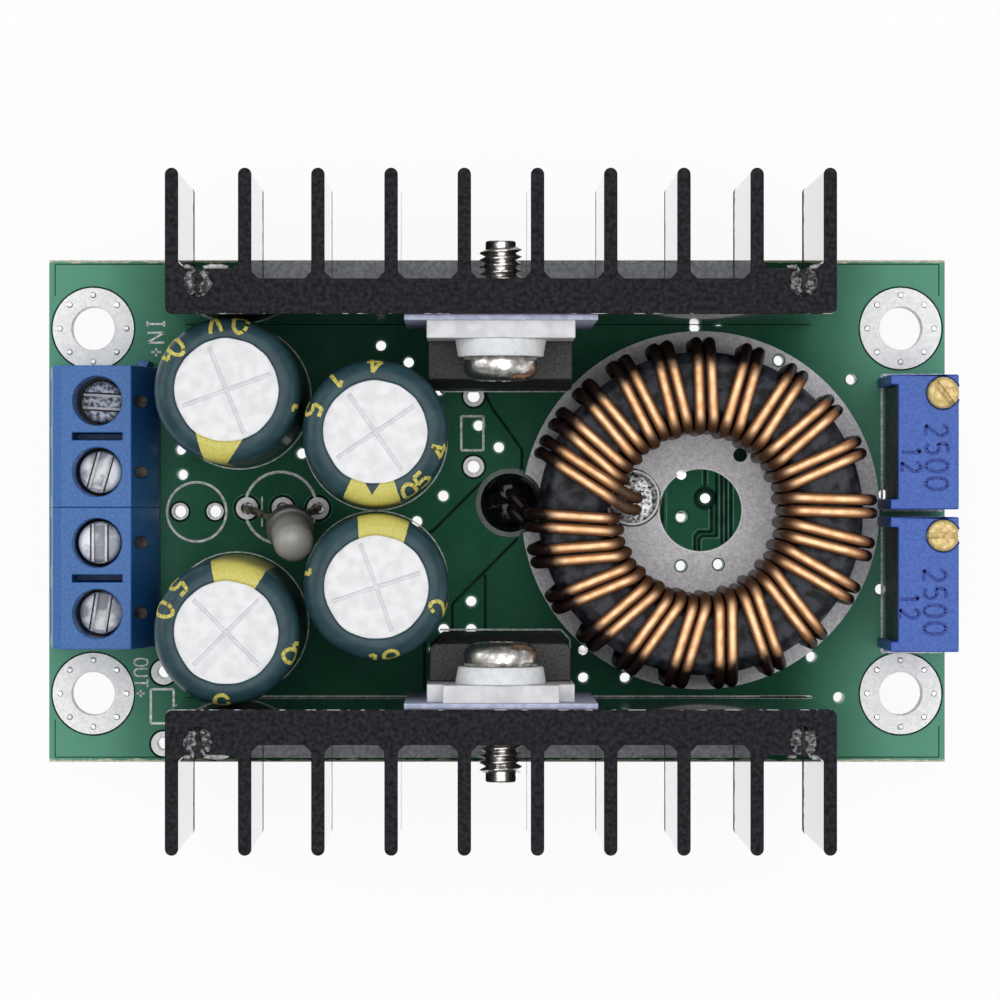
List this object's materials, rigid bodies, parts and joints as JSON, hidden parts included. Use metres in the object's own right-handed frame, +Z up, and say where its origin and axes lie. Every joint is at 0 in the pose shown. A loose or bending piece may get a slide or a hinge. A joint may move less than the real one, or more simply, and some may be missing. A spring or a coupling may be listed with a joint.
{
  "type": "buck converter module",
  "caption": "Step-down power converter board with finned heatsinks, toroidal choke, capacitors, screw terminals and trimmers.",
  "frame": {"origin": "centre of the rectangle of mounting holes, on the board's underside", "axes": "+X along the board from the screw terminals to the trimmers, +Z up through the component side"},
  "size_m": [0.065, 0.047, 0.0232],
  "materials": {
    "board": "solder mask over glass laminate",
    "black_anodised": "black anodised extrusion, cut ends matt",
    "tinned_pin": "tinned",
    "insulator": "soft pale lavender sheet",
    "screw_steel": "bright nickel plate",
    "white_bush": "moulded white",
    "package_metal": "tinned copper",
    "package_black": "moulded epoxy",
    "can_aluminium": "satin, scored top",
    "sleeve": "dark slate-green shrink sleeve",
    "core": "dark coated powder core",
    "enamelled_copper": "enamelled copper wire",
    "terminal_blue": "moulded blue",
    "contact_metal": "plated",
    "zinc_screw": "zinc plated",
    "trimmer_blue": "moulded violet-blue",
    "potting": "dark resin",
    "adjuster_brass": "turned",
    "lamp_lens": "frosted grey",
    "solder": "bright solder",
    "chip_ceramic": "chip part"
  },
  "bodies": {
    "module": {"amplifier_body": "package_black", "amplifier_leads": "package_metal", "capacitor_1_can": "can_aluminium", "capacitor_1_sleeve": "sleeve", "capacitor_2_can": "can_aluminium", "capacitor_2_sleeve": "sleeve", "capacitor_3_can": "can_aluminium", "capacitor_3_sleeve": "sleeve", "capacitor_4_can": "can_aluminium", "capacitor_4_sleeve": "sleeve", "capacitor_leads": "package_metal", "chip_capacitors": "chip_ceramic", "chip_resistors": "package_black", "choke_core": "core", "choke_winding_first": "enamelled_copper", "choke_winding_second": "enamelled_copper", "circuit_board": "board", "clamp_screw_lower": "screw_steel", "clamp_screw_upper": "screw_steel", "heatsink_lower": "black_anodised", "heatsink_pins": "tinned_pin", "heatsink_upper": "black_anodised", "indicator_lamp": "lamp_lens", "indicator_leads": "package_metal", "insulating_bush_lower": "white_bush", "insulating_bush_upper": "white_bush", "insulator_sheet_lower": "insulator", "insulator_sheet_upper": "insulator", "rectifier_body": "package_black", "rectifier_leads": "package_metal", "rectifier_tab": "package_metal", "regulator_body": "package_black", "regulator_leads": "package_metal", "regulator_tab": "package_metal", "shunt_end_caps": "package_metal", "shunt_resistor": "package_black", "solder_joints": "solder", "supply_body": "package_black", "supply_leads": "package_metal", "terminal_cages": "contact_metal", "terminal_housing_1": "terminal_blue", "terminal_housing_2": "terminal_blue", "trimmer_1_housing": "trimmer_blue", "trimmer_1_potting": "potting", "trimmer_2_housing": "trimmer_blue", "trimmer_2_potting": "potting", "trimmer_pins": "package_metal"},
    "clamp_1_plate": {"pressure_plate_1": "contact_metal"},
    "clamp_1_screw": {"terminal_screw_1": "zinc_screw"},
    "clamp_2_plate": {"pressure_plate_2": "contact_metal"},
    "clamp_2_screw": {"terminal_screw_2": "zinc_screw"},
    "clamp_3_plate": {"pressure_plate_3": "contact_metal"},
    "clamp_3_screw": {"terminal_screw_3": "zinc_screw"},
    "clamp_4_plate": {"pressure_plate_4": "contact_metal"},
    "clamp_4_screw": {"terminal_screw_4": "zinc_screw"},
    "trimmer_1_adjuster": {"trimmer_1_screw": "adjuster_brass"},
    "trimmer_2_adjuster": {"trimmer_2_screw": "adjuster_brass"}
  },
  "joints": [
    {"name": "clamp_1_travel", "type": "slide", "parent": "module", "child": "clamp_1_plate", "axis": [0, 0, -1], "range_m": [-0.0024, 0.0006]},
    {"name": "clamp_1_turn", "type": "hinge", "parent": "clamp_1_plate", "child": "clamp_1_screw", "pos_m": [-0.0282, 0.00778, 0.0075], "axis": [0, 0, -1], "range_deg": [-1728.1, 432.1]},
    {"name": "clamp_2_travel", "type": "slide", "parent": "module", "child": "clamp_2_plate", "axis": [0, 0, -1], "range_m": [-0.0011, 0.0019]},
    {"name": "clamp_2_turn", "type": "hinge", "parent": "clamp_2_plate", "child": "clamp_2_screw", "pos_m": [-0.0282, 0.00278, 0.0088], "axis": [0, 0, -1], "range_deg": [-792.1, 1368.1]},
    {"name": "clamp_3_travel", "type": "slide", "parent": "module", "child": "clamp_3_plate", "axis": [0, 0, -1], "range_m": [-0.0002, 0.0028]},
    {"name": "clamp_3_turn", "type": "hinge", "parent": "clamp_3_plate", "child": "clamp_3_screw", "pos_m": [-0.0282, -0.00222, 0.0097], "axis": [0, 0, -1], "range_deg": [-144.1, 2016.1]},
    {"name": "clamp_4_travel", "type": "slide", "parent": "module", "child": "clamp_4_plate", "axis": [0, 0, -1], "range_m": [-0.0015, 0.0015]},
    {"name": "clamp_4_turn", "type": "hinge", "parent": "clamp_4_plate", "child": "clamp_4_screw", "pos_m": [-0.0282, -0.00722, 0.0084], "axis": [0, 0, -1], "range_deg": [-1080.1, 1080.1]},
    {"name": "trimmer_1_turn", "type": "hinge", "parent": "module", "child": "trimmer_1_adjuster", "pos_m": [0.03128, 0.00834, 0.0116], "axis": [0, 0, -1], "continuous": true},
    {"name": "trimmer_2_turn", "type": "hinge", "parent": "module", "child": "trimmer_2_adjuster", "pos_m": [0.03128, -0.0017, 0.0116], "axis": [0, 0, -1], "continuous": true}
  ],
  "couplings": [
    {"joint": "clamp_1_turn", "follows": "clamp_1_travel", "rad_per_m": 12566},
    {"joint": "clamp_2_turn", "follows": "clamp_2_travel", "rad_per_m": 12566},
    {"joint": "clamp_3_turn", "follows": "clamp_3_travel", "rad_per_m": 12566},
    {"joint": "clamp_4_turn", "follows": "clamp_4_travel", "rad_per_m": 12566}
  ]
}
